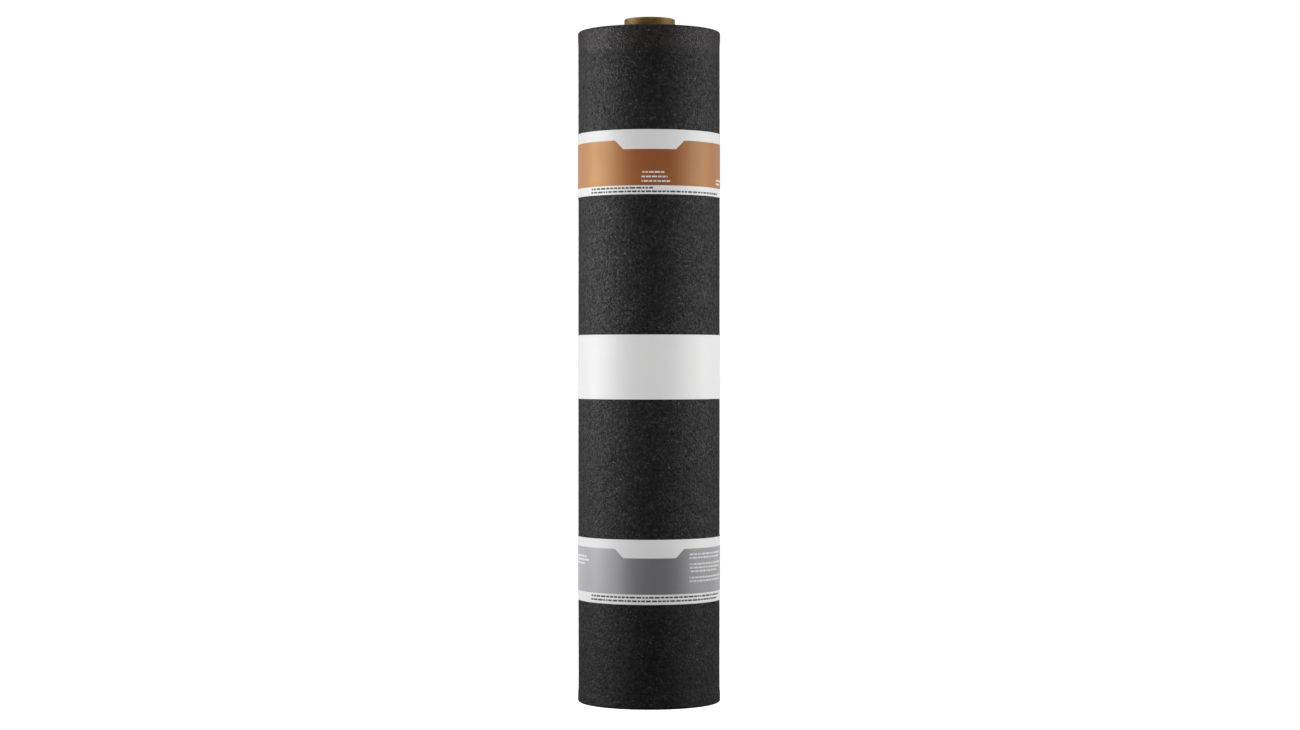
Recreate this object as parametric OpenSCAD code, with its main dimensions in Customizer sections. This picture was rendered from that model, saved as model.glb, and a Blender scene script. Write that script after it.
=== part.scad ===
// Roll of bitumen protection sheet, standing on its end.
// One long sheet is wound on a paper core and held shut by three paper bands.
// Millimetres, +Z up, origin on the core's axis at the floor. The front faces -Y.

/* [Sheet] */
// Width of the sheet, which is the height of the standing roll
sheet_width = 760; // [600:10:1200]
// Thickness of the sheet, which is also the step from one turn to the next
sheet_thickness = 2.9; // [2:0.1:6]
// Whole turns wound on the core
turns = 18; // [6:1:30]
// Width of the gap between two turns where it opens on the ends
turn_gap = 0.6; // [0.2:0.1:1.2]
// Depth of the gap between two turns on the ends
turn_gap_depth = 1.4; // [0.5:0.1:4]
// Rounding of the outermost turn where it meets the ends
rim_round = 2.2; // [0.5:0.1:5]
// Growth of the radius at each end, where no band pulls the sheet in
end_flare = 0.5; // [0:0.1:2]
// Distance from each end at which the flare reaches its full size
flare_full = 7; // [5:1:14]
// Distance from each end at which the flare starts
flare_start = 19; // [16:1:40]

/* [Core] */
// Bore of the core tube
core_bore = 50.8; // [30:0.2:110]
// Wall of the core tube
core_wall = 3.3; // [2:0.1:10]
// Length of the core that stands out of the roll's top
core_overhang = 15; // [1:1:60]
// Bevel of the core's outer edges
core_bevel = 0.4; // [0.1:0.1:1]
// Gap between the core and the first turn
core_clearance = 0.2; // [0.2:0.05:0.5]

/* [Bands] */
// Height of each paper band
band_height = 72; // [30:1:95]
// Thickness of the paper
band_thickness = 0.25; // [0.2:0.05:1]
// Distance from each end of the roll to the nearest band
band_inset = 116.5; // [45:0.5:150]
// Length over which a band's glued end laps over its start
band_lap = 28; // [10:1:80]
// Gap between a band and the sheet under it, since the paper lies on the tips of the granules
band_clearance = 0.35; // [0.2:0.05:0.6]

/* [Hidden] */
$fn = 180;

// Each turn of the spiral is two half circles.
// The left one is centred on the core, and the right one half a thickness nearer the front.
half_step = sheet_thickness / 2;
core_r = core_bore / 2 + core_wall;
bore_r = core_r + core_clearance;
left_r = bore_r + turns * sheet_thickness;
right_r = left_r - half_step;
rim = min(rim_round, sheet_thickness - turn_gap);
spare = 1;
// How far a band's straight span dips into its round part, so that the two join
span_dip = 0.05;

// One side of the roll's section, with a notch between each two turns on both ends
module turn_section(outer_r, notch_radii) {
    inner_r = bore_r - sheet_thickness;
    full_r = outer_r + end_flare;
    difference() {
        polygon([
            [inner_r, 0],
            [full_r, 0],
            [full_r, flare_full],
            [outer_r, flare_start],
            [outer_r, sheet_width - flare_start],
            [full_r, sheet_width - flare_full],
            [full_r, sheet_width],
            [inner_r, sheet_width]
        ]);
        both_ends() {
            rim_cut(full_r);
            for (r = notch_radii) turn_notch(r);
        }
    }
}

// Draws its children at the bottom end and, mirrored, at the top end
module both_ends() {
    children();
    translate([0, sheet_width]) mirror([0, 1]) children();
}

// What is cut from the section's bottom corner to round it
module rim_cut(full_r) {
    translate([full_r - rim, rim]) mirror([0, 1]) difference() {
        square(rim + spare);
        circle(r = rim);
    }
}

// The gap between two turns, open on the bottom end
module turn_notch(r) {
    polygon([
        [r - turn_gap / 2 - spare * turn_gap / (2 * turn_gap_depth), -spare],
        [r + turn_gap / 2 + spare * turn_gap / (2 * turn_gap_depth), -spare],
        [r, turn_gap_depth]
    ]);
}

// The wound sheet: two turned halves, bored through for the core.
// The sheet's free end is the step on the back, where the left half stands proud of the right.
module sheet_roll() {
    color("#2b2b2c") difference() {
        union() {
            rotate(90) rotate_extrude(angle = 180)
                turn_section(left_r, [for (i = [1:turns - 1]) bore_r + i * sheet_thickness]);
            translate([0, -half_step]) rotate(-90) rotate_extrude(angle = 180)
                turn_section(right_r, [for (i = [1:turns - 2]) bore_r + (i + 0.5) * sheet_thickness]);
        }
        translate([0, 0, -spare]) cylinder(r = bore_r, h = sheet_width + 2 * spare);
    }
}

// The paper tube that the sheet is wound on, flush with the floor and proud of the roll's top
module core_tube() {
    length = sheet_width + core_overhang;
    color("#7d6238") rotate_extrude() polygon([
        [core_bore / 2, 0],
        [core_r - core_bevel, 0],
        [core_r, core_bevel],
        [core_r, length - core_bevel],
        [core_r - core_bevel, length],
        [core_bore / 2, length]
    ]);
}

// Plan of a taut wrap round the roll, standing off the sheet by grow.
// It runs straight from the corner of the free end down to the turn below.
module wrap_plan(grow) {
    reach = left_r + grow + half_step;
    span_r = right_r + grow - span_dip;
    span_angle = acos(span_r / reach);
    half_disc(left_r + grow, 90);
    translate([0, -half_step]) {
        half_disc(right_r + grow, -90);
        polygon([
            [0, 0],
            [sin(span_angle), cos(span_angle)] * span_r,
            [0, reach],
            [-sheet_thickness, reach - half_step],
            [-sheet_thickness, 0]
        ]);
    }
}

// Half of a disc, on the side that the turn brings +Y round to
module half_disc(r, turn) {
    rotate(turn) intersection() {
        circle(r = r);
        translate([-2 * r, 0]) square([4 * r, 2 * r]);
    }
}

// Plan of the glued end of a band, one more thickness of paper on the left of the back
module lap_plan() {
    lap_r = left_r + band_clearance + band_thickness;
    lap_angle = band_lap / lap_r * 180 / PI;
    far = 2 * lap_r;
    rotate(lap_angle / 2) intersection() {
        difference() {
            circle(r = lap_r + band_thickness);
            circle(r = lap_r - band_thickness / 2);
        }
        polygon([[0, 0], [0, far], [-far * sin(lap_angle), far * cos(lap_angle)]]);
    }
}

// A paper band whose lower edge is at height z
module band(z) {
    translate([0, 0, z]) linear_extrude(band_height) {
        difference() {
            wrap_plan(band_clearance + band_thickness);
            wrap_plan(band_clearance);
        }
        lap_plan();
    }
}

module top_band() {
    color("#b5703c") band(sheet_width - band_inset - band_height);
}

module middle_band() {
    color("#e6e6e6") band((sheet_width - band_height) / 2);
}

module bottom_band() {
    color("#8c8c90") band(band_inset);
}

sheet_roll();
core_tube();
top_band();
middle_band();
bottom_band();
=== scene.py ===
import math
import bmesh
import bpy
import numpy as np
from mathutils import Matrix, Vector


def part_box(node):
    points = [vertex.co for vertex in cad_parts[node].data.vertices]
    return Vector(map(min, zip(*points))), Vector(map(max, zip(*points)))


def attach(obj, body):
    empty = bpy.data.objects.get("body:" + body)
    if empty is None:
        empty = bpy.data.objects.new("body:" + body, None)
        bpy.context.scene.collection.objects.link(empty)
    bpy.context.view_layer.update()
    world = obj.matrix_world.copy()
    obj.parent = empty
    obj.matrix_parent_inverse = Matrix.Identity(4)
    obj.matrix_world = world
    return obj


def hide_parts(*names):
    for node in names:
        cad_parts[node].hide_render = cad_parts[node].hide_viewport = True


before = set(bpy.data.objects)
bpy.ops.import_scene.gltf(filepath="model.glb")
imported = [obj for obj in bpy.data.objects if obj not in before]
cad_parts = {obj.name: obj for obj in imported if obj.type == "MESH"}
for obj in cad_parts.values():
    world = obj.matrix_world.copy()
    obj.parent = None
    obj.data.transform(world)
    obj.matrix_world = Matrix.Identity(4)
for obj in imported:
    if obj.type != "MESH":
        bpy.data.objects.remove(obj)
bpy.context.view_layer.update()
mm = 0.001
print("frame loaded:", sorted(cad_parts))

# what the frame says about the roll
rollLow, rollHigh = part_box("sheet_roll")
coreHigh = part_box("core_tube")[1]
bandBoxes = {name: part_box(name) for name in ("top_band", "middle_band", "bottom_band")}
rollHeight = rollHigh.z
endFlare = 0.5 * mm  # what the roll gains in radius at its ends
sheetThick = 2 * (-rollLow.x - rollHigh.x)  # the left half of each turn is half a sheet larger
outerRadius = -rollLow.x - endFlare
coreRadius = coreHigh.x
turnCount = round((outerRadius - coreRadius) / sheetThick)
boreRadius = outerRadius - turnCount * sheetThick

fullTurn = 2 * math.pi
creaseAngle = math.radians(40)  # edges sharper than this stay crisp
weldReach = 0.0001 * mm
roundingSlack = 1e-6  # for numbers that are whole but for rounding
waveCount = 6


# small tools

def toLinear(hexColour):
    channels = [int(hexColour[i:i + 2], 16) / 255 for i in (1, 3, 5)]
    return [c / 12.92 if c <= 0.04045 else ((c + 0.055) / 1.055) ** 2.4 for c in channels] + [1.0]


# an input is a value, a socket, or a node that stands for the first output it has in use
def setInputs(tree, node, inputs):
    for name, value in inputs.items():
        if isinstance(value, bpy.types.Node):
            value = next(output for output in value.outputs if output.enabled)
        if isinstance(value, bpy.types.NodeSocket):
            tree.links.new(value, node.inputs[name])
        else:
            node.inputs[name].default_value = value


def addNode(tree, kind, inputs=None, **settings):
    node = tree.nodes.new("ShaderNode" + kind)
    for name, value in settings.items():
        setattr(node, name, value)
    setInputs(tree, node, inputs or {})
    return node


def newMaterial(name):
    material = bpy.data.materials.new(name)
    material.use_nodes = True
    tree = material.node_tree
    tree.nodes.clear()
    shader = addNode(tree, "BsdfPrincipled")
    addNode(tree, "OutputMaterial", {"Surface": shader})
    return material, tree, shader


def smooth(x):
    x = np.clip(x, 0, 1)
    return x * x * (3 - 2 * x)


# a sum of a few waves with a fixed seed, for soft unevenness
def waves(seed, *axes):
    rng = np.random.default_rng(seed)
    total = 0
    for k in range(waveCount):
        phase = rng.uniform(0, fullTurn)
        for axis, shortest in axes:
            phase = phase + axis * rng.uniform(-1, 1) * fullTurn / shortest
        total = total + np.sin(phase)
    return total / waveCount


# quads between neighbouring points of a grid of point numbers
def gridFaces(grid):
    quads = np.stack([grid[:-1, :-1], grid[:-1, 1:], grid[1:, 1:], grid[1:, :-1]], axis=-1)
    return quads.reshape(-1, 4).tolist()


# a shape is gathered from patches with points of their own, which are welded where patches meet
def newShape():
    return dict(points=[], maps={}, faces=[], slots=[], count=0)


def addPoints(shape, xyz, maps):
    grid = shape["count"] + np.arange(xyz[..., 0].size).reshape(xyz.shape[:-1])
    shape["count"] += grid.size
    shape["points"].append(xyz.reshape(-1, 3))
    for name, (u, v) in maps.items():
        uv = np.stack(np.broadcast_arrays(u, v, xyz[..., 0])[:2], axis=-1)
        shape["maps"].setdefault(name, []).append(uv.reshape(-1, 2))
    return grid


def addFaces(shape, faces, slot):
    shape["faces"] += faces
    shape["slots"] += [slot] * len(faces)


def addPatch(shape, xyz, maps, slot, flip=False):
    grid = addPoints(shape, xyz, maps)
    addFaces(shape, gridFaces(grid[:, ::-1] if flip else grid), slot)


# where a patch lies on the map for baking, from shares of the way across and up its box there
def inBox(across, up, box):
    left, low, right, high = box
    return left + (right - left) * across, low + (high - low) * up


def makePiece(name, shape, materials):
    mesh = bpy.data.meshes.new(name)
    mesh.from_pydata(np.concatenate(shape["points"]).tolist(), [], shape["faces"])
    for material in materials:
        mesh.materials.append(material)
    mesh.polygons.foreach_set("material_index", np.array(shape["slots"], np.int32))
    corners = np.zeros(len(mesh.loops), np.int32)
    mesh.loops.foreach_get("vertex_index", corners)
    for mapName, parts in shape["maps"].items():
        layer = mesh.uv_layers.new(name=mapName)
        layer.data.foreach_set("uv", np.concatenate(parts)[corners].astype(np.float32).ravel())
    welded = bmesh.new()
    welded.from_mesh(mesh)
    bmesh.ops.remove_doubles(welded, verts=welded.verts, dist=weldReach)
    welded.to_mesh(mesh)
    welded.free()
    mesh.polygons.foreach_set("use_smooth", np.ones(len(mesh.polygons), bool))
    mesh.set_sharp_from_angle(angle=creaseAngle)
    mesh.update()
    piece = bpy.data.objects.new(name, mesh)
    bpy.context.scene.collection.objects.link(piece)
    return piece


# the spiral of the wound sheet, from its free end at the back inwards, in radians
# each turn is two half circles, and the right one is centred half a sheet nearer the front
def spiral(s, inward=0.0):
    half = np.floor(s / math.pi + roundingSlack).astype(int)
    right = half % 2
    radius = outerRadius - (half // 2 + right / 2) * sheetThick - inward
    return np.stack([-radius * np.sin(s), radius * np.cos(s) - right * sheetThick / 2], axis=-1)


# materials of the wound sheet

granuleSheet = dict(
    granule=1.9 * mm,     # real ones are about 1 mm, drawn coarser so that they show
    crown=(0.25, 0.7),    # a granule's top fades out between these distances from its middle
    contrast=2.8,         # most granules are dark and few are pale
    glints=0.003,         # share of the granules that are palest of all
    dome=0.6 * mm,        # height of a granule
    grit=0.9 * mm,        # fines between the granules
    gritShare=0.12,       # their part in the colour
    gritHeight=0.35,      # and in the relief
    cloud=22 * mm,        # pressing leaves clouds of a thumb's width
    streak=(70 * mm, 3.5 * mm),  # and streaks along the winding: length, width
    mottle=(0.5, 1.4),    # how far both thin out and thicken the granules
    mottleNoise=(0.1, 0.4),  # between these levels of the two together
    rough=(0.4, 0.88),    # of the smoothest and the roughest granule
    shine=0.45,
    lowShadeDepth=240 * mm,  # painted shade: up to here from the floor the sheet is drawn darker, for the light that falls off towards the floor
    # how far the painted shade dims the stones at the floor
    lowShade=0.6,
    dustFull=20 * mm,     # reddish dust lies on the upper edge
    dustDepth=34 * mm,
    dustShare=0.05,
    dustSmooth=0.14,
    bitumen="#070707", stone="#3e3e3e", pale="#5c5c5b", dust="#68494a")


# bitumen sheet with rolled-in mineral granules: matte, near black, and speckled by the stones' faces
def makeGranuleBitumen():
    look = granuleSheet
    material, tree, shader = newMaterial("granule surfaced bitumen")
    place = addNode(tree, "TexCoord").outputs["Object"]
    stones = addNode(tree, "TexVoronoi", {"Vector": place, "Scale": 1 / look["granule"]})
    grit = addNode(tree, "TexVoronoi", {"Vector": place, "Scale": 1 / look["grit"]})
    shades = addNode(tree, "SeparateColor", {"Color": stones.outputs["Color"]})
    gritShades = addNode(tree, "SeparateColor", {"Color": grit.outputs["Color"]})
    stoneTop = addNode(tree, "MapRange", {
        "Value": stones.outputs["Distance"], "From Min": look["crown"][0], "From Max": look["crown"][1],
        "To Min": 1.0, "To Max": 0.0}, interpolation_type="SMOOTHSTEP")
    stoneTone = addNode(tree, "Math", {0: shades.outputs[0], 1: look["contrast"]}, operation="POWER")
    stoneShare = addNode(tree, "Math", {0: stoneTone, 1: stoneTop}, operation="MULTIPLY")
    bothShares = addNode(tree, "Math", {
        0: gritShades.outputs[0], 1: look["gritShare"], 2: stoneShare}, operation="MULTIPLY_ADD")

    clouds = addNode(tree, "TexNoise", {
        "Vector": place, "Scale": 1 / look["cloud"], "Detail": 3.0, "Roughness": 0.6})
    length, width = look["streak"]
    along = addNode(tree, "Mapping", {"Vector": place, "Scale": (1 / length, 1 / length, 1 / width)})
    streaks = addNode(tree, "TexNoise", {"Vector": along, "Scale": 1.0, "Detail": 2.0})
    mottle = addNode(tree, "Math", {0: clouds, 1: streaks}, operation="MULTIPLY")
    level = addNode(tree, "MapRange", {
        "Value": mottle, "From Min": look["mottleNoise"][0], "From Max": look["mottleNoise"][1],
        "To Min": look["mottle"][0], "To Max": look["mottle"][1]})

    # painted shade: the stones' colour fades towards the floor, so the lower end is drawn blacker where
    # less light falls
    height = addNode(tree, "SeparateXYZ", {0: place})
    lowShade = addNode(tree, "MapRange", {
        "Value": height.outputs[2], "From Min": 0.0, "From Max": look["lowShadeDepth"],
        "To Min": look["lowShade"], "To Max": 1.0}, interpolation_type="SMOOTHSTEP")
    lowShaded = addNode(tree, "Math", {0: bothShares, 1: lowShade}, operation="MULTIPLY")
    share = addNode(tree, "Math", {0: lowShaded, 1: level}, operation="MULTIPLY", use_clamp=True)
    stony = addNode(tree, "Mix", {
        0: share, 6: toLinear(look["bitumen"]), 7: toLinear(look["stone"])}, data_type="RGBA")

    dust = addNode(tree, "MapRange", {
        "Value": height.outputs[2], "From Min": rollHeight - look["dustDepth"],
        "From Max": rollHeight - look["dustFull"]}, interpolation_type="SMOOTHSTEP")
    dusty = addNode(tree, "Math", {0: dust, 1: look["dustShare"]}, operation="MULTIPLY", use_clamp=True)
    ground = addNode(tree, "Mix", {0: dusty, 6: stony, 7: toLinear(look["dust"])}, data_type="RGBA")
    glint = addNode(tree, "Math", {
        0: shades.outputs[1], 1: 1 - look["glints"]}, operation="GREATER_THAN")
    glintTop = addNode(tree, "Math", {0: glint, 1: stoneTop}, operation="MULTIPLY")
    colour = addNode(tree, "Mix", {0: glintTop, 6: ground, 7: toLinear(look["pale"])}, data_type="RGBA")

    facets = addNode(tree, "MapRange", {
        "Value": shades.outputs[2], "To Min": look["rough"][0], "To Max": look["rough"][1]})
    rough = addNode(tree, "Math", {
        0: dust, 1: -look["dustSmooth"], 2: facets}, operation="MULTIPLY_ADD")
    domes = addNode(tree, "Math", {
        0: grit.outputs["Distance"], 1: look["gritHeight"],
        2: stones.outputs["Distance"]}, operation="MULTIPLY_ADD")
    bump = addNode(tree, "Bump", {
        "Strength": 1.0, "Distance": look["dome"], "Height": domes}, invert=True)
    setInputs(tree, shader, {
        "Base Color": colour, "Roughness": rough, "Normal": bump, "Specular IOR Level": look["shine"]})
    return material


cutEdge = dict(
    fleece=0.5 * mm,      # thickness of the fleece
    stray=0.4 * mm,       # how far it strays from the middle of the sheet
    tear=2.5 * mm,        # width of the tears that the knife leaves
    tearDepth=0.3 * mm,
    dustSpot=6 * mm,
    dustLevel=(0.42, 0.7),  # noise levels at which dust begins and covers
    rough=(0.38, 0.8),
    bitumen="#282624", fibre="#77705f", dust="#53504c")


# knife-cut bitumen: smoother and a little brown, with its polyester fleece as a pale middle thread
def makeCutBitumen():
    look = cutEdge
    material, tree, shader = newMaterial("knife-cut bitumen edge")
    place = addNode(tree, "TexCoord").outputs["Object"]
    across = addNode(tree, "UVMap", uv_map="across")
    depth = addNode(tree, "SeparateXYZ", {0: across})
    ragged = addNode(tree, "TexNoise", {"Vector": place, "Scale": 1 / look["tear"], "Detail": 3.0})
    offset = addNode(tree, "MapRange", {
        "Value": ragged, "To Min": -look["stray"], "To Max": look["stray"]})
    shifted = addNode(tree, "Math", {0: depth.outputs[1], 1: offset}, operation="ADD")
    middle = addNode(tree, "Math", {
        0: shifted, 1: sheetThick / 2, 2: look["fleece"] / 2}, operation="COMPARE")
    dusty = addNode(tree, "TexNoise", {
        "Vector": place, "Scale": 1 / look["dustSpot"], "Detail": 5.0, "Roughness": 0.7})
    dust = addNode(tree, "MapRange", {
        "Value": dusty, "From Min": look["dustLevel"][0], "From Max": look["dustLevel"][1]})
    ground = addNode(tree, "Mix", {
        0: dust, 6: toLinear(look["bitumen"]), 7: toLinear(look["dust"])}, data_type="RGBA")
    fibres = addNode(tree, "Math", {0: middle, 1: ragged}, operation="MULTIPLY")
    colour = addNode(tree, "Mix", {0: fibres, 6: ground, 7: toLinear(look["fibre"])}, data_type="RGBA")
    rough = addNode(tree, "MapRange", {
        "Value": dusty, "To Min": look["rough"][0], "To Max": look["rough"][1]})
    bump = addNode(tree, "Bump", {"Strength": 0.5, "Distance": look["tearDepth"], "Height": ragged})
    setInputs(tree, shader, {"Base Color": colour, "Roughness": rough, "Normal": bump})
    return material


# the wound sheet

sheet = dict(
    columns=168,          # points round each turn
    rows=226,             # points up the outer turn
    rimRound=2.2 * mm,    # outer corner of the outer turn
    turnRound=0.6 * mm,   # outer corner of the turns inside it
    rimBend=0.25,         # radians in which the one becomes the other
    rimPoints=5,          # on either corner
    skirt=0.5 * mm,       # straight part below the outer corner
    innerEdge=((0.2 * mm, 0.4 * mm), (0.55 * mm, 0.05 * mm)),  # inner corner: distance out, depth
    gapDepth=1.4 * mm,
    wallShare=0.15,       # of a gap's depth, as the width of its walls on the map for baking
    flareFull=7 * mm,     # distances from an end
    flareStart=19 * mm,
    flareOuter=1.2,       # turns that flare in full
    flareTurns=5,         # turns in which the flare then fades inwards
    unevenEnd=0.35 * mm,  # how far one turn stands past another
    unevenWaves=(3, 0.4),  # shortest waves of that, in turns
    levelTurns=0.6,       # turns from the free end that stay level
    roughCut=0.04 * mm,
    cutWaves=(0.225, 1.5 * mm),  # shortest waves of the cut: radians along it, distance across it
    flapColumns=10,       # columns of the outer turn that spring up at the free end
    lift=0.7 * mm,        # how far they do so between the bands
    heldLift=0.05 * mm,   # and under them
    liftReach=70 * mm,    # from a band to where the free end is quite free
    grain=0.05 * mm,      # unevenness from point to point
    sway=0.12 * mm,       # and over the whole face
    swayWaves=(1.5, 250 * mm),  # shortest waves of it: radii across the roll, distance up it
    swayFade=12 * mm,     # from an end to where the grain and sway are full
    seeds=dict(grain=7, sway=3, top=11, bottom=12, cut=13))
# left, low, right and high side of each patch's place on the map for baking
sheetBoxes = dict(
    skin=(0.005, 0.275, 0.995, 0.995),
    topRim=(0.005, 0.262, 0.995, 0.27), bottomRim=(0.005, 0.249, 0.995, 0.257),
    top=(0.005, 0.005, 0.24, 0.24), bottom=(0.255, 0.005, 0.49, 0.24),
    under=(0.505, 0.005, 0.74, 0.24), bore=(0.755, 0.005, 0.86, 0.24),
    freeEnd=(0.875, 0.005, 0.9, 0.24),
    topCorner=(0.92, 0.005, 0.98, 0.11), bottomCorner=(0.92, 0.125, 0.98, 0.24))
noEdge = (0.0, 0.0)  # on the map of the cut edge, for patches that have none
faceSlot, edgeSlot = 0, 1  # materials of the sheet and of the core

# points along the sheet from its free end inwards, and up its outer face
onTurn = sheet["columns"]
stations = fullTurn / onTurn * np.arange(onTurn * turnCount + 1)
rimHeight = sheet["rimRound"] + sheet["skirt"]
skinHeights = np.linspace(rimHeight, rollHeight - rimHeight, sheet["rows"] + 1)[1:-1]
flapEnd = sheet["flapColumns"] + 1
flapAngle = sheet["flapColumns"] / onTurn * fullTurn


def flareAt(z):
    fromEnd = np.minimum(z, rollHeight - z)
    ramp = sheet["flareStart"] - sheet["flareFull"]
    return endFlare * smooth((sheet["flareStart"] - fromEnd) / ramp)


# the free end is held down by the bands and springs up between them
def liftAt(s, z):
    free = np.ones_like(z)
    for low, high in bandBoxes.values():
        gap = np.maximum(np.maximum(low.z - z, z - high.z), 0)
        free = np.minimum(free, smooth(gap / sheet["liftReach"]))
    height = sheet["heldLift"] + (sheet["lift"] - sheet["heldLift"]) * free
    return height * np.clip(1 - s / flapAngle, 0, 1) ** 2


# section of the cut edge at each station, from the gap on its inner side to the gap on its outer side
def edgeProfile():
    bend = smooth((stations - fullTurn) / sheet["rimBend"] + 1)
    corner = sheet["rimRound"] + (sheet["turnRound"] - sheet["rimRound"]) * bend
    profile = [(sheetThick, sheet["gapDepth"])]
    profile += [(sheetThick - side, drop) for side, drop in sheet["innerEdge"]]
    rimFrom = len(profile) + 1  # from here on the outer turn shows its granules
    quarter = np.linspace(0, math.pi / 2, sheet["rimPoints"])
    profile += [(corner * (1 - math.sin(a)), corner * (1 - math.cos(a))) for a in quarter]
    profile += [(0.0, np.where(bend < 1, corner + sheet["skirt"], sheet["gapDepth"]))]
    inward = np.stack([side + 0 * stations for side, drop in profile], axis=1)
    below = np.stack([drop + 0 * stations for side, drop in profile], axis=1)
    # the last half turn thins out to nothing against the core
    room = np.linalg.norm(spiral(stations), axis=1) - boreRadius
    taper = np.clip(room / sheetThick, 0, 1)[:, None]
    below = sheet["gapDepth"] + (below - sheet["gapDepth"]) * taper
    return inward * taper, below, taper, rimFrom


# one end of the roll: the cut edges of all turns, with granules on the rim of the outer one
def addSheetEnd(shape, end):
    isTop = end == "top"
    inward, below, taper, rimFrom = edgeProfile()
    s = stations[:, None] + 0 * inward
    turnNumber = s / fullTurn + inward / sheetThick
    fade = (sheet["flareTurns"] + sheet["flareOuter"] - turnNumber) / sheet["flareTurns"]
    flare = endFlare * smooth(fade)
    along, across = sheet["cutWaves"]
    cut = sheet["roughCut"] * waves(sheet["seeds"]["cut"], (s, along), (inward, across))
    turnWaves = [(stations, turns * fullTurn) for turns in sheet["unevenWaves"]]
    uneven = sheet["unevenEnd"] * waves(sheet["seeds"][end], *turnWaves)
    uneven = uneven * smooth(stations / fullTurn - sheet["levelTurns"])
    if not isTop:
        uneven = np.abs(uneven)  # no turn reaches below the floor
    ragged = np.ones(inward.shape[1])
    ragged[[0, -1]] = 0  # two turns share the bottom of a gap, so it stays level
    depth = np.maximum(below + ragged * taper * (cut + uneven[:, None]), 0)
    z = rollHeight - depth if isTop else depth
    xyz = np.dstack([spiral(s, inward - flare - liftAt(s, z)), z])

    # on the map for baking, the walls of the gaps get a little width too
    steps = np.abs(np.diff(inward, axis=1)) + sheet["wallShare"] * np.abs(np.diff(below, axis=1))
    passed = np.concatenate([0 * inward[:, :1], np.cumsum(steps, axis=1)], axis=1)
    flatInward = sheetThick * taper * (1 - passed / np.maximum(passed[:, -1:], weldReach))
    fromAxis = spiral(s, flatInward) / (2 * outerRadius) + 0.5
    side = fromAxis[..., 0] if isTop else 1 - fromAxis[..., 0]  # the lower end is seen from below
    disc = np.stack(inBox(side, fromAxis[..., 1], sheetBoxes[end]))

    def addStrip(rows, columns, slot, place):
        maps = {"across": (s[rows, columns] * outerRadius, inward[rows, columns]), "OFBake": place}
        addPatch(shape, xyz[rows, columns], maps, slot, flip=not isTop)

    outerTurn, innerTurns = slice(0, onTurn + 1), slice(onTurn, None)
    land, rim = slice(0, rimFrom + 1), slice(rimFrom, None)
    addStrip(slice(None), land, edgeSlot, disc[:, :, land])
    addStrip(innerTurns, rim, edgeSlot, disc[:, innerTurns, rim])
    rimShare = np.linspace(isTop, not isTop, inward.shape[1] - rimFrom)
    rimPlace = inBox(s[outerTurn, rim] / fullTurn, rimShare, sheetBoxes[end + "Rim"])
    addStrip(outerTurn, rim, faceSlot, rimPlace)
    return xyz


# the outer face, from rim to rim, running on under the free end
def addOuterFace(shape, top, bottom):
    skinEnd = onTurn + flapEnd
    s, z = np.meshgrid(stations[:skinEnd], skinHeights, indexing="ij")
    grain = np.random.default_rng(sheet["seeds"]["grain"]).normal(0, sheet["grain"], s.shape)
    across, up = sheet["swayWaves"]
    swayAxes = (np.cos(s), across), (np.sin(s), across), (z, up)
    sway = sheet["sway"] * waves(sheet["seeds"]["sway"], *swayAxes)
    fade = smooth(np.minimum(z, rollHeight - z) / sheet["swayFade"])
    fade = fade * smooth((fullTurn - s) / flapAngle)  # smooth where the free end lies on it
    out = flareAt(z) + liftAt(s, z) + (grain + sway) * fade
    skin = np.dstack([spiral(s, -out), z])
    skin = np.concatenate([bottom[:skinEnd, -1:], skin, top[:skinEnd, -1:]], axis=1)
    place = inBox(s[:, :1] / s[-1, 0], skin[..., 2] / rollHeight, sheetBoxes["skin"])
    addPatch(shape, skin, {"across": noEdge, "OFBake": place}, faceSlot, flip=True)
    return skin


# the free end: its underside, its cut face and the two corners of that
def addFreeEnd(shape, skin, top, bottom):
    s, z = np.meshgrid(stations[:flapEnd], skinHeights, indexing="ij")
    under = np.dstack([spiral(s, sheetThick - flareAt(z) - liftAt(s, z)), z])
    under = np.concatenate([bottom[:flapEnd, :1], under, top[:flapEnd, :1]], axis=1)
    place = inBox(1 - s[:, :1] / flapAngle, under[..., 2] / rollHeight, sheetBoxes["under"])
    addPatch(shape, under, {"across": noEdge, "OFBake": place}, faceSlot)
    cutFace = np.stack([skin[0, 1:-1], under[0, 1:-1]])
    through = np.array([[0.0], [1.0]])
    place = inBox(1 - through, skinHeights / rollHeight, sheetBoxes["freeEnd"])
    addPatch(shape, cutFace, {"across": (0.0, through * sheetThick), "OFBake": place}, edgeSlot)
    for end, edge, row in (("top", top[0], -2), ("bottom", bottom[0], 1)):
        rim = np.concatenate([edge, skin[:1, row], under[:1, row]])
        depth = rim[:, 1].max() - rim[:, 1]
        up = (rim[:, 2] - rim[:, 2].min()) / np.ptp(rim[:, 2])
        place = inBox(1 - depth / sheetThick, up, sheetBoxes[end + "Corner"])
        outline = addPoints(shape, rim, {"across": (0.0, depth), "OFBake": place}).tolist()
        addFaces(shape, [outline[::-1] if end == "top" else outline], edgeSlot)


def makeSheetRoll():
    shape = newShape()
    top = addSheetEnd(shape, "top")
    bottom = addSheetEnd(shape, "bottom")
    skin = addOuterFace(shape, top, bottom)
    addFreeEnd(shape, skin, top, bottom)
    # the inside, against the core
    inside = np.stack([bottom[-onTurn - 1:, 0], top[-onTurn - 1:, 0]], axis=1)
    place = inBox(np.linspace(1, 0, onTurn + 1)[:, None], np.array([0.0, 1.0]), sheetBoxes["bore"])
    addPatch(shape, inside, {"across": noEdge, "OFBake": place}, faceSlot)
    return makePiece("sheet_roll_wound", shape, [makeGranuleBitumen(), makeCutBitumen()])


woundSheet = makeSheetRoll()
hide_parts("sheet_roll")
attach(woundSheet, "root")
print("wound sheet:", len(woundSheet.data.polygons), "faces")


# the core

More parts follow.
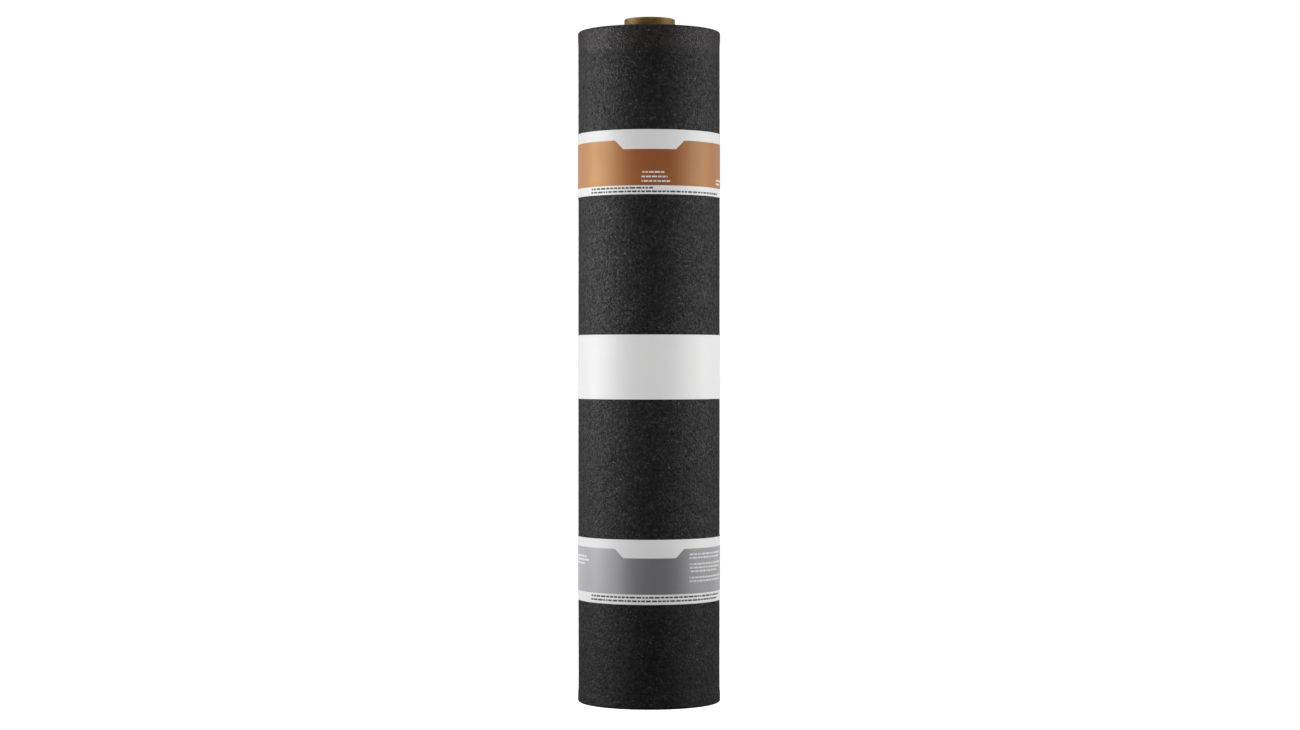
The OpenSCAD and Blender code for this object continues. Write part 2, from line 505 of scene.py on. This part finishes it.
core = dict(
    columns=120,
    boreRows=24, edgeRows=5, shownRows=10, hiddenRows=9,  # bore, edge, outside above and in the roll
    wall=3.3 * mm,
    bevel=0.4 * mm,
    hidden=4 * mm,        # fine rows reach this far down into the roll
    tilt=0.08 * mm,       # the saw leaves the top edge a little out of true
    tiltWave=2.0,         # shortest wave of that, in radii
    seed=21,
    oval=0.2 * mm,        # handling presses the top out of round
    ovalAngle=0.7,
    plyWidth=100 * mm,    # of the strip that the outer ply is wound from
    seam=0.5 * mm,        # where that strip meets itself
    fibre=0.7 * mm,       # width and length, drawn coarser than real ones so that they show
    fibreLength=3.5 * mm,
    fibreDepth=0.2 * mm,
    fibreWeight=1.2,      # against the clouds
    cloud=14 * mm,
    tone=(0.75, 1.5),     # levels at which the board is at its darkest and palest
    fleck=1.3 * mm,       # bark and ink from recycled pulp
    flecks=0.07,          # share of the places that have one
    fleckSize=(0.15, 0.45),
    fleckDark=0.7,
    rough=(0.4, 0.6),
    shine=1.0,            # the outer ply is calendered
    ply=0.8 * mm,         # drawn coarser than a real one
    plyLine=0.4,          # share of a ply that its dark edge takes up
    fur=1.2 * mm,         # what the saw leaves on the edge
    furStray=0.25 * mm,
    furDepth=0.25 * mm,
    furTone=0.5,
    sawnRough=0.85,
    board="#70501f", dark="#3b290f", pale="#b28a4a", sawn="#c0a272", glint="#ffe09c")
coreBox = (0.005, 0.005, 0.995, 0.995)  # its place on the map for baking


# spirally wound kraft board: brown with short fibres, flecks and a seam where the outer ply meets itself
def makeKraftBoard():
    material, tree, shader = newMaterial("spiral-wound kraft board")
    tube = addNode(tree, "UVMap", uv_map="tube")
    place = addNode(tree, "TexCoord").outputs["Object"]
    split = addNode(tree, "SeparateXYZ", {0: tube})
    around = fullTurn * coreRadius
    pitch = core["plyWidth"] / math.sqrt(1 - (core["plyWidth"] / around) ** 2)
    climb = addNode(tree, "Math", {0: split.outputs[1], 1: pitch}, operation="DIVIDE")
    helix = addNode(tree, "Math", {0: split.outputs[0], 1: climb}, operation="ADD")
    phase = addNode(tree, "Math", {0: helix}, operation="FRACT")
    seam = addNode(tree, "Math", {0: phase, 1: core["seam"] / core["plyWidth"]}, operation="LESS_THAN")

    # fibres lie along the ply
    fibrePlace = addNode(tree, "CombineXYZ", {0: split.outputs[0], 1: helix, 2: 0.0})
    scale = (around / core["fibreLength"], core["plyWidth"] / core["fibre"], 1.0)
    stretch = addNode(tree, "Mapping", {"Vector": fibrePlace, "Scale": scale})
    fibres = addNode(tree, "TexNoise", {
        "Vector": stretch, "Scale": 1.0, "Detail": 5.0, "Roughness": 0.7})
    clouds = addNode(tree, "TexNoise", {"Vector": place, "Scale": 1 / core["cloud"], "Detail": 3.0})
    tone = addNode(tree, "Math", {
        0: fibres, 1: core["fibreWeight"], 2: clouds}, operation="MULTIPLY_ADD")
    share = addNode(tree, "MapRange", {
        "Value": tone, "From Min": core["tone"][0], "From Max": core["tone"][1]})
    board = addNode(tree, "Mix", {
        0: share, 6: toLinear(core["board"]), 7: toLinear(core["pale"])}, data_type="RGBA")

    flecks = addNode(tree, "TexVoronoi", {"Vector": place, "Scale": 1 / core["fleck"]})
    fleckShades = addNode(tree, "SeparateColor", {"Color": flecks.outputs["Color"]})
    fleckCell = addNode(tree, "Math", {
        0: fleckShades.outputs[0], 1: 1 - core["flecks"]}, operation="GREATER_THAN")
    fleckSpot = addNode(tree, "MapRange", {
        "Value": flecks.outputs["Distance"], "From Min": core["fleckSize"][0],
        "From Max": core["fleckSize"][1], "To Min": core["fleckDark"], "To Max": 0.0})
    fleck = addNode(tree, "Math", {0: fleckCell, 1: fleckSpot}, operation="MULTIPLY")
    marks = addNode(tree, "Math", {0: seam, 1: fleck}, operation="MAXIMUM")
    colour = addNode(tree, "Mix", {0: marks, 6: board, 7: toLinear(core["dark"])}, data_type="RGBA")

    relief = addNode(tree, "Math", {0: fibres, 1: seam}, operation="SUBTRACT")
    bump = addNode(tree, "Bump", {"Strength": 0.8, "Distance": core["fibreDepth"], "Height": relief})
    rough = addNode(tree, "MapRange", {
        "Value": fibres, "To Min": core["rough"][0], "To Max": core["rough"][1]})
    setInputs(tree, shader, {
        "Base Color": colour, "Roughness": rough, "Normal": bump,
        "Specular IOR Level": core["shine"], "Specular Tint": toLinear(core["glint"])})
    return material


# sawn board: the plies show as rings, furry and paler than the face
def makeSawnBoard():
    material, tree, shader = newMaterial("sawn kraft board edge")
    place = addNode(tree, "TexCoord").outputs["Object"]
    flat = addNode(tree, "VectorMath", {0: place, 1: (1, 1, 0)}, operation="MULTIPLY")
    radius = addNode(tree, "VectorMath", {0: flat}, operation="LENGTH")
    fur = addNode(tree, "TexNoise", {"Vector": place, "Scale": 1 / core["fur"], "Detail": 4.0})
    wobble = addNode(tree, "Math", {0: fur, 1: core["furStray"], 2: radius}, operation="MULTIPLY_ADD")
    count = addNode(tree, "Math", {0: wobble, 1: core["ply"]}, operation="DIVIDE")
    phase = addNode(tree, "Math", {0: count}, operation="FRACT")
    line = addNode(tree, "MapRange", {
        "Value": phase, "From Min": 0.0, "From Max": core["plyLine"], "To Min": 1.0, "To Max": 0.0})
    furred = addNode(tree, "Math", {
        0: fur, 1: core["furTone"], 2: line}, operation="MULTIPLY_ADD", use_clamp=True)
    colour = addNode(tree, "Mix", {
        0: furred, 6: toLinear(core["sawn"]), 7: toLinear(core["board"])}, data_type="RGBA")
    rings = addNode(tree, "Math", {0: fur, 1: line}, operation="SUBTRACT")
    bump = addNode(tree, "Bump", {"Strength": 0.8, "Distance": core["furDepth"], "Height": rings})
    setInputs(tree, shader, {"Base Color": colour, "Roughness": core["sawnRough"], "Normal": bump})
    return material


def makeCoreTube():
    shape = newShape()
    innerRadius = coreRadius - core["wall"]
    length = coreHigh.z
    bevel = core["bevel"]
    hidden = rollHeight - core["hidden"]
    # profile from the bottom of the bore: up, over the top edge, down the outside, along the bottom edge
    boreZ = np.linspace(0, length, core["boreRows"])
    edge = np.linspace(innerRadius, coreRadius - bevel, core["edgeRows"])[1:]
    shownZ = np.linspace(length - bevel, hidden, core["shownRows"])
    outZ = np.concatenate([shownZ, np.linspace(hidden, bevel, core["hiddenRows"])[1:]])
    radii = np.concatenate([
        innerRadius + 0 * boreZ, edge, coreRadius + 0 * outZ, [coreRadius - bevel, innerRadius]])
    heights = np.concatenate([boreZ, length + 0 * edge, outZ, [0.0, 0.0]])
    turn = np.linspace(0, fullTurn, core["columns"] + 1)
    angle, row = np.meshgrid(turn, np.arange(len(radii)), indexing="ij")
    top = smooth((heights[row] - rollHeight) / (length - rollHeight))
    sawn = waves(core["seed"], (np.cos(angle), core["tiltWave"]), (np.sin(angle), core["tiltWave"]))
    z = heights[row] - top * core["tilt"] * (1 + sawn)
    r = radii[row] + top * core["oval"] * np.sin(2 * angle + core["ovalAngle"])
    xyz = np.stack([r * np.cos(angle), r * np.sin(angle), z], -1)
    first = 0
    ends = np.cumsum([len(boreZ) - 1, len(edge), len(outZ) + 1, 1])
    for last, slot in zip(ends, (faceSlot, edgeSlot) * 2):  # bore, top edge, outside, bottom edge
        part = slice(first, last + 1)
        share = angle[:, part] / fullTurn
        place = inBox(1 - share, row[:, part] / len(radii), coreBox)
        addPatch(shape, xyz[:, part], {"tube": (share, z[:, part]), "OFBake": place}, slot)
        first = last
    return makePiece("core_tube_wound", shape, [makeKraftBoard(), makeSawnBoard()])


coreTube = makeCoreTube()
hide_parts("core_tube")
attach(coreTube, "root")
print("core tube:", len(coreTube.data.polygons), "faces")


# the paper bands

band = dict(
    paper=0.22 * mm,
    standOff=0.3 * mm,    # the paper lies on the tips of the granules
    step=2.5 * mm,        # between points along the paper, and up the slanted ends of the field
    rise=5 * mm,          # between points up the rest of the paper
    lap=28 * mm,          # glued overlap at the back
    lapStart=14 * mm,     # from the corner of the sheet's free end to the paper's own start
    lapPoints=20,
    spanPoints=10,        # on the straight stretch up to that corner
    climbFrom=0.1,        # radians before its own start, where the lap begins to climb onto it
    climbOver=0.08,       # radians in which it does so
    glue=0.03 * mm,
    sway=0.07 * mm,
    swayWaves=(120 * mm, 80 * mm),  # shortest waves of it along and up the paper
    edgeCurl=0.1 * mm,
    curlPower=8,          # the higher, the nearer to the edge the curl stays
    curlEven=0.6,         # share of the curl that is the same all along
    curlWave=150 * mm)
field = dict(low=30 * mm, high=40 * mm, depth=10 * mm)  # white field at the top of a stripe, half widths
bars = dict(
    length=5.5 * mm,      # of most bars
    gap=0.1,              # share of it that stays bare at each end
    height=1.9 * mm,
    shift=1.0)            # metres from row to row in the pattern, so that no two are alike
labelPaper = dict(
    fibre=1.6 * mm,       # drawn coarser than a real one
    cloud=25 * mm,
    relief=0.05 * mm,
    rough=(0.5, 0.6),
    shine=0.55,
    dark="#dededd", pale="#e9e9e9", bar="#38383c")
flakeInk = dict(
    flake=0.8 * mm,       # real ones are far finer, drawn coarser so that they show
    relief=0.04 * mm,
    tone=0.1)             # how much darker and paler than the ink's colour they are
# rows of bars in mm: height up the paper, then where they begin and end from the front middle
copperInk = dict(colour="#863d13", glint="#ffe8ae", ior=1.8, shine=1.0, metal=0.0, barRows=[
    (24.5, -9, 17), (19.5, -9, 20), (14.5, -9, 23), (18.5, 96, 118), (14.5, 96, 112)])
greyInk = dict(colour="#a8a8ab", glint="#ffffff", ior=1.5, shine=0.5, metal=0.8, barRows=[
    (55, 47, 112), (51, 47, 104), (44, 47, 112), (40, 47, 109), (36, 47, 96), (29, 47, 112),
    (25, 47, 108), (51, -122, -86), (47, -122, -80), (43, -122, -90)])
bandPrints = {
    "top_band": dict(seed=40, ink=copperInk, inkName="copper flake ink",
                     stripe=(9.75 * mm, 60.0 * mm), barRows=[(7.0, -76, 4), (3.1, -76, 100)]),
    "middle_band": dict(seed=50, ink=None, barRows=[]),
    "bottom_band": dict(seed=60, ink=greyInk, inkName="grey flake ink",
                        stripe=(11.2 * mm, 61.4 * mm), barRows=[(8.0, -76, 104), (4.0, -76, 98)])}


# rows of short bars of uneven length, as a mask
def printBars(tree, place, barRows):
    split = addNode(tree, "SeparateXYZ", {0: place})
    mask = None
    for number, row in enumerate(barRows):
        up, first, last = [size * mm for size in row]
        inSpan = addNode(tree, "Math", {
            0: split.outputs[0], 1: (first + last) / 2, 2: (last - first) / 2}, operation="COMPARE")
        level = addNode(tree, "Math", {
            0: split.outputs[1], 1: up, 2: bars["height"] / 2}, operation="COMPARE")
        inRow = addNode(tree, "Math", {0: inSpan, 1: level}, operation="MULTIPLY")
        shifted = addNode(tree, "Math", {
            0: split.outputs[0], 1: bars["shift"] * (1 + number)}, operation="ADD")
        dashes = addNode(tree, "TexVoronoi", {"W": shifted, "Scale": 1 / bars["length"]},
                         voronoi_dimensions="1D", feature="DISTANCE_TO_EDGE")
        solid = addNode(tree, "Math", {0: dashes, 1: bars["gap"]}, operation="GREATER_THAN")
        rowMask = addNode(tree, "Math", {0: inRow, 1: solid}, operation="MULTIPLY")
        mask = addNode(tree, "Math", {0: mask, 1: rowMask}, operation="ADD") if mask else rowMask
    return mask


# coated label paper: bright and smooth, with a soft shine from its varnish
def makeLabelPaper(name, barRows):
    look = labelPaper
    material, tree, shader = newMaterial(name)
    place = addNode(tree, "UVMap", uv_map="paper")
    fibres = addNode(tree, "TexNoise", {
        "Vector": place, "Scale": 1 / look["fibre"], "Detail": 5.0, "Roughness": 0.6})
    clouds = addNode(tree, "TexNoise", {"Vector": place, "Scale": 1 / look["cloud"], "Detail": 2.0})
    colour = addNode(tree, "Mix", {
        0: fibres, 6: toLinear(look["dark"]), 7: toLinear(look["pale"])}, data_type="RGBA")
    if barRows:
        mask = printBars(tree, place, barRows)
        colour = addNode(tree, "Mix", {0: mask, 6: colour, 7: toLinear(look["bar"])}, data_type="RGBA")
    rough = addNode(tree, "MapRange", {
        "Value": clouds, "To Min": look["rough"][0], "To Max": look["rough"][1]})
    bump = addNode(tree, "Bump", {"Strength": 0.25, "Distance": look["relief"], "Height": fibres})
    setInputs(tree, shader, {
        "Base Color": colour, "Roughness": rough, "Normal": bump,
        "Specular IOR Level": look["shine"]})
    return material


# flake ink, metal and mica leaf under varnish: deep face on, bright towards the light
def makeFlakeInk(name, ink):
    material, tree, shader = newMaterial(name)
    place = addNode(tree, "UVMap", uv_map="paper")
    flakes = addNode(tree, "TexNoise", {
        "Vector": place, "Scale": 1 / flakeInk["flake"], "Detail": 3.0, "Roughness": 0.7})
    clouds = addNode(tree, "TexNoise", {
        "Vector": place, "Scale": 1 / labelPaper["cloud"], "Detail": 2.0})
    base = toLinear(ink["colour"])[:3]
    darker, paler = [
        [c * share for c in base] + [1.0] for share in (1 - flakeInk["tone"], 1 + flakeInk["tone"])]
    tone = addNode(tree, "Mix", {0: flakes, 6: darker, 7: paler}, data_type="RGBA")
    mask = printBars(tree, place, ink["barRows"])
    colour = addNode(tree, "Mix", {0: mask, 6: tone, 7: toLinear(labelPaper["dark"])}, data_type="RGBA")
    # the ink follows the paper under it
    rough = addNode(tree, "MapRange", {
        "Value": clouds, "To Min": labelPaper["rough"][0], "To Max": labelPaper["rough"][1]})
    bump = addNode(tree, "Bump", {"Strength": 0.2, "Distance": flakeInk["relief"], "Height": flakes})
    setInputs(tree, shader, {
        "Base Color": colour, "Roughness": rough, "Normal": bump,
        "Metallic": ink["metal"], "IOR": ink["ior"],
        "Specular IOR Level": ink["shine"], "Specular Tint": toLinear(ink["glint"])})
    return material


# plan of a band: round the roll, straight up to the corner of the free end, then over its own start
# gives its points, and how far along the paper each lies from the front middle
def bandPlan():
    leftRadius = outerRadius + band["standOff"] + band["paper"]
    rightRadius = leftRadius - sheetThick / 2
    touch = math.acos(rightRadius / (leftRadius + sheetThick / 2))
    ownStart = band["lapStart"] / outerRadius
    startAt = -(math.pi - ownStart) * leftRadius
    touchAt = (math.pi - touch) * rightRadius
    firstStep = math.ceil(startAt / band["step"]) + 1
    lastStep = math.floor(touchAt / band["step"])
    along = np.concatenate([[startAt], band["step"] * np.arange(firstStep, lastStep), [touchAt]])
    s = math.pi + np.where(along < 0, along / leftRadius, along / rightRadius)
    roundPart = spiral(s, -band["standOff"])
    corner = spiral(np.zeros(1), -band["standOff"])
    share = np.linspace(0, 1, band["spanPoints"])[1:, None]
    straight = roundPart[-1] + (corner - roundPart[-1]) * share
    # the last stretch climbs onto the paper's own start
    lapS = np.linspace(0, (band["lapStart"] + band["lap"]) / outerRadius, band["lapPoints"])[1:]
    climb = smooth((lapS - ownStart + band["climbFrom"]) / band["climbOver"])
    over = spiral(lapS, -band["standOff"] - climb * (band["paper"] + band["glue"]))
    plan = np.concatenate([roundPart, straight, over])
    rest = np.linalg.norm(np.diff(plan, axis=0), axis=1)[len(along) - 1:]
    return plan, np.concatenate([along, along[-1] + np.cumsum(rest)])


# heights of the points up a band, with rows on the edges of its stripe and field
def bandRows(height, stripe):
    edges = [0, height]
    if stripe:
        low, high = stripe
        edges = [0, low, high - field["depth"], high, height]
    rows = [np.zeros(1)]
    for below, above in zip(edges, edges[1:]):
        inField = stripe and above == stripe[1]
        step = band["step"] if inField else band["rise"]
        count = math.ceil((above - below) / step - roundingSlack)
        rows.append(np.linspace(below, above, count + 1)[1:])
    return np.concatenate(rows)


# how far the white field reaches from the middle at a height, or nothing below it
def fieldReach(up, stripe):
    fromTop = stripe[1] - up
    if fromTop > field["depth"]:
        return 0
    return field["high"] - (field["high"] - field["low"]) * fromTop / field["depth"]


# corners of the face or faces in a cell of the paper, which the slanted end of the field cuts in two
def cellCuts(middle, reach):
    if not reach or abs(abs(middle) - reach) >= band["step"] / 4:
        return [[(0, 0), (1, 0), (1, 1), (0, 1)]]
    if middle > 0:
        return [[(0, 0), (1, 0), (1, 1)], [(0, 0), (1, 1), (0, 1)]]
    return [[(0, 0), (1, 0), (0, 1)], [(1, 0), (1, 1), (0, 1)]]


# left, low, right and high side of each patch's place on the map for baking
paperBoxes = dict(
    face=(0.002, 0.13, 0.998, 0.995), back=(0.002, 0.005, 0.998, 0.055),
    topEdge=(0.002, 0.065, 0.998, 0.075), bottomEdge=(0.002, 0.085, 0.998, 0.095),
    start=(0.002, 0.105, 0.3, 0.12), finish=(0.4, 0.105, 0.7, 0.12))
paperSlot, inkSlot = 0, 1  # materials of a band


def makeBand(nodeName):
    shape = newShape()
    low, high = bandBoxes[nodeName]
    height = high.z - low.z
    look = bandPrints[nodeName]
    stripe = look.get("stripe")
    plan, along = bandPlan()
    heading = np.gradient(plan, axis=0)
    heading /= np.linalg.norm(heading, axis=1)[:, None]
    normal = np.stack([heading[:, 1], -heading[:, 0]], -1)
    up = bandRows(height, stripe)
    alongWave, upWave = band["swayWaves"]
    sway = band["sway"] * waves(look["seed"], (along[:, None], alongWave), (up, upWave))
    curl = band["edgeCurl"] * np.abs(2 * up / height - 1) ** band["curlPower"]
    uneven = waves(look["seed"] + 1, (along[:, None], band["curlWave"]))
    curl = curl * (band["curlEven"] + (1 - band["curlEven"]) * uneven)

    def sideOfPaper(thickness):
        flat = plan[:, None] + normal[:, None] * (sway + curl + thickness)[..., None]
        return np.dstack([flat, np.broadcast_to(low.z + up, sway.shape)])

    def mapsFor(name, rows, upShare):
        share = (along - along[0]) / (along[-1] - along[0])
        if name == "back":
            share = 1 - share
        place = inBox(share[:, None], upShare, paperBoxes[name])
        return {"paper": (along[:, None], rows), "OFBake": place}

    # the face: ink on the stripe, bare paper on the field and the margins
    face = sideOfPaper(band["paper"])
    grid = addPoints(shape, face, mapsFor("face", up, up / height))
    for i in range(len(along) - 1):
        for j in range(len(up) - 1):
            middle, level = along[i:i + 2].mean(), up[j:j + 2].mean()
            inStripe = stripe and stripe[0] < level < stripe[1]
            for cut in cellCuts(middle, fieldReach(level, stripe) if inStripe else 0):
                x = np.mean([along[i + a] for a, b in cut])
                y = np.mean([up[j + b] for a, b in cut])
                isInk = inStripe and abs(x) > fieldReach(y, stripe)
                corners = [int(grid[i + a, j + b]) for a, b in cut]
                addFaces(shape, [corners], inkSlot if isInk else paperSlot)

    # the back, the long edges and the two ends
    back = sideOfPaper(0.0)
    through = np.array([0.0, 1.0])
    topEdge = np.stack([back[:, -1], face[:, -1]], axis=1)
    bottomEdge = np.stack([face[:, 0], back[:, 0]], axis=1)
    addPatch(shape, back, mapsFor("back", up, up / height), paperSlot)
    addPatch(shape, topEdge, mapsFor("topEdge", height, 1 - through), paperSlot)
    addPatch(shape, bottomEdge, mapsFor("bottomEdge", 0.0, 1 - through), paperSlot)
    rows = np.concatenate([up, up[::-1]])
    for name, k in (("start", 0), ("finish", -1)):
        place = inBox(rows / height, np.repeat(through, len(up)), paperBoxes[name])
        outline = np.concatenate([face[k], back[k, ::-1]])
        outline = addPoints(shape, outline, {"paper": (along[k], rows), "OFBake": place}).tolist()
        addFaces(shape, [outline if name == "start" else outline[::-1]], paperSlot)

    materials = [makeLabelPaper("coated label paper " + nodeName.split("_")[0], look["barRows"])]
    if look["ink"]:
        materials.append(makeFlakeInk(look["inkName"], look["ink"]))
    return makePiece(nodeName + "_paper", shape, materials)


bandSlots = {
    "top_band": "copper_band_paper", "middle_band": "white_band_paper", "bottom_band": "grey_band_paper"}
paperBands = []
for nodeName in bandSlots:
    paperBand = makeBand(nodeName)
    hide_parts(nodeName)
    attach(paperBand, "root")
    paperBands.append(paperBand)
    print("paper band:", paperBand.name, len(paperBand.data.polygons), "faces")


# studio: white floor, white surround, a tall soft box on each side and diffuse fills

floorLook = dict(
    radius=40.0, sides=96,
    speckles=40.0,        # across the whole floor
    rough=0.9,
    glow=0.93,            # brings it up to the white of the surround
    dark="#f2f2f1", pale="#f6f6f6")


# matte white paint: an even ground without a seam
def makeFloor():
    material, tree, shader = newMaterial("white studio floor")
    speckle = addNode(tree, "TexNoise", {"Scale": floorLook["speckles"], "Detail": 3.0})
    tone = addNode(tree, "Mix", {
        0: speckle, 6: toLinear(floorLook["dark"]), 7: toLinear(floorLook["pale"])}, data_type="RGBA")
    setInputs(tree, shader, {
        "Base Color": tone, "Roughness": floorLook["rough"],
        "Emission Color": (1, 1, 1, 1), "Emission Strength": floorLook["glow"]})
    mesh = bpy.data.meshes.new("floor")
    radius = floorLook["radius"]
    angles = np.linspace(0, fullTurn, floorLook["sides"] + 1)[:-1]
    ring = [(radius * math.cos(a), radius * math.sin(a), 0) for a in angles]
    mesh.from_pydata(ring, [], [list(range(len(ring)))])
    mesh.materials.append(material)
    floor = bpy.data.objects.new("floor", mesh)
    bpy.context.scene.collection.objects.link(floor)
    floor.visible_diffuse = False  # so that it throws no light up the roll
    floor.visible_glossy = False


# angles in degrees from the front, lengths in metres, fill and shine in watts
studio = dict(
    sideAngle=84, sideReach=1.15, sideSize=(1.0, 0.95), sideHeight=0.68,
    leftFill=11.7, leftShine=12.8, rightFill=10.9, rightShine=8.8,
    fillDrop=0.3,         # lower, so that the roll is lit evenly and the shine is strongest near its top
    shineReach=0.98,      # share of a soft box's distance, so that its two lamps don't coincide
    frontReach=0.95, frontHeight=0.42, backHeight=0.6, frontSize=(0.8, 0.5), frontFill=4.5, backFill=2.4,
    rimAngle=140, rimReach=1.3, rimSize=(0.7, 1.0), leftRim=3.2, rightRim=3.2,
    topHeight=2.2, topSize=(1.2, 1.2), topFill=6.5, topShine=4.0,
    wallFill=0.4, wallShine=0.2, roomGlow=0.02,  # brightness of the wall behind and the room in front
    wallFrom=(-0.1, 0.8),  # where the room ends and the wall is full: 0 is the side, 1 the back
    backdrop=1.05)        # white for the camera alone


# a soft box, with its power on matte surfaces (fill) and in reflections (shine) set apart
def addSoftBox(name, place, aim, size, fill=0.0, shine=0.0, fillDrop=0.0, only=None):
    place, aim = Vector(place), Vector(aim)
    lowered = place - Vector((0, 0, fillDrop))
    for use, power, spot in (("fill", fill, lowered), ("shine", shine, place * studio["shineReach"])):
        if not power:
            continue
        light = bpy.data.lights.new(name + " " + use, "AREA")
        light.shape = "RECTANGLE"
        light.size, light.size_y = size
        light.energy = power
        lamp = bpy.data.objects.new(light.name, light)
        bpy.context.scene.collection.objects.link(lamp)
        lamp.location = spot
        lamp.rotation_euler = (aim - place).to_track_quat("-Z", "Y").to_euler()
        lamp.visible_camera = False
        lamp.visible_diffuse = use == "fill"
        lamp.visible_glossy = use == "shine"
        if only:
            lamp.light_linking.receiver_collection = only


def roundAbout(degrees, reach, z):
    angle = math.radians(degrees)
    return (reach * math.sin(angle), -reach * math.cos(angle), z)


def makeLights():
    papers = bpy.data.collections.new("papers")
    for paper in paperBands:
        papers.objects.link(paper)
    for side, name in ((-1, "left"), (1, "right")):
        up = studio["sideHeight"]
        place = roundAbout(side * studio["sideAngle"], studio["sideReach"], up)
        addSoftBox(name + " soft box", place, (0, 0, up), studio["sideSize"],
                   studio[name + "Fill"], studio[name + "Shine"], studio["fillDrop"])
        # flagged off the sheet, for the far ends of the paper
        up = rollHeight / 2
        place = roundAbout(side * studio["rimAngle"], studio["rimReach"], up)
        addSoftBox(name + " rim light", place, (0, 0, up), studio["rimSize"],
                   shine=studio[name + "Rim"], only=papers)
    for degrees, name in ((0, "front"), (180, "back")):
        up = studio[name + "Height"]
        place = roundAbout(degrees, studio["frontReach"], up)
        addSoftBox(name + " scrim", place, (0, 0, up), studio["frontSize"], studio[name + "Fill"])
    addSoftBox("top light", (0, 0, studio["topHeight"]), (0, 0, 0), studio["topSize"],
               studio["topFill"], studio["topShine"])


# the white wall behind gives some light, the room in front hardly any
def makeSurround():
    world = bpy.data.worlds.new("white surround")
    bpy.context.scene.world = world
    world.use_nodes = True
    tree = world.node_tree
    tree.nodes.clear()
    rays = addNode(tree, "LightPath")
    towards = addNode(tree, "TexCoord").outputs["Generated"]
    depth = addNode(tree, "SeparateXYZ", {0: towards})
    wall = addNode(tree, "Math", {
        0: rays.outputs["Is Diffuse Ray"], 1: studio["wallFill"] - studio["wallShine"],
        2: studio["wallShine"]}, operation="MULTIPLY_ADD")
    glow = addNode(tree, "MapRange", {
        "Value": depth.outputs[1], "From Min": studio["wallFrom"][0], "From Max": studio["wallFrom"][1],
        "To Min": studio["roomGlow"], "To Max": wall}, interpolation_type="SMOOTHSTEP")
    dim = addNode(tree, "Background", {0: (1, 1, 1, 1), 1: glow})
    white = addNode(tree, "Background", {0: (1, 1, 1, 1), 1: studio["backdrop"]})
    both = addNode(tree, "MixShader", {0: rays.outputs["Is Camera Ray"], 1: dim, 2: white})
    addNode(tree, "OutputWorld", {0: both})


makeFloor()
makeLights()
makeSurround()
bpy.context.scene.view_settings.view_transform = "Standard"
print("studio lit")


# camera: level, at the roll's middle height, as far back as the curve of the bands says

view = dict(distance=2.97, lens=72.25, sensor=36.0, aside=0.4 * mm, above=2.2 * mm)
cameraData = bpy.data.cameras.new("camera")
cameraData.lens = view["lens"]
cameraData.sensor_width = view["sensor"]
camera = bpy.data.objects.new("camera", cameraData)
bpy.context.scene.collection.objects.link(camera)
camera.location = (view["aside"], -view["distance"], rollHeight / 2 + view["above"])
camera.rotation_euler = (math.pi / 2, 0, 0)
bpy.context.scene.camera = camera
print("camera placed")
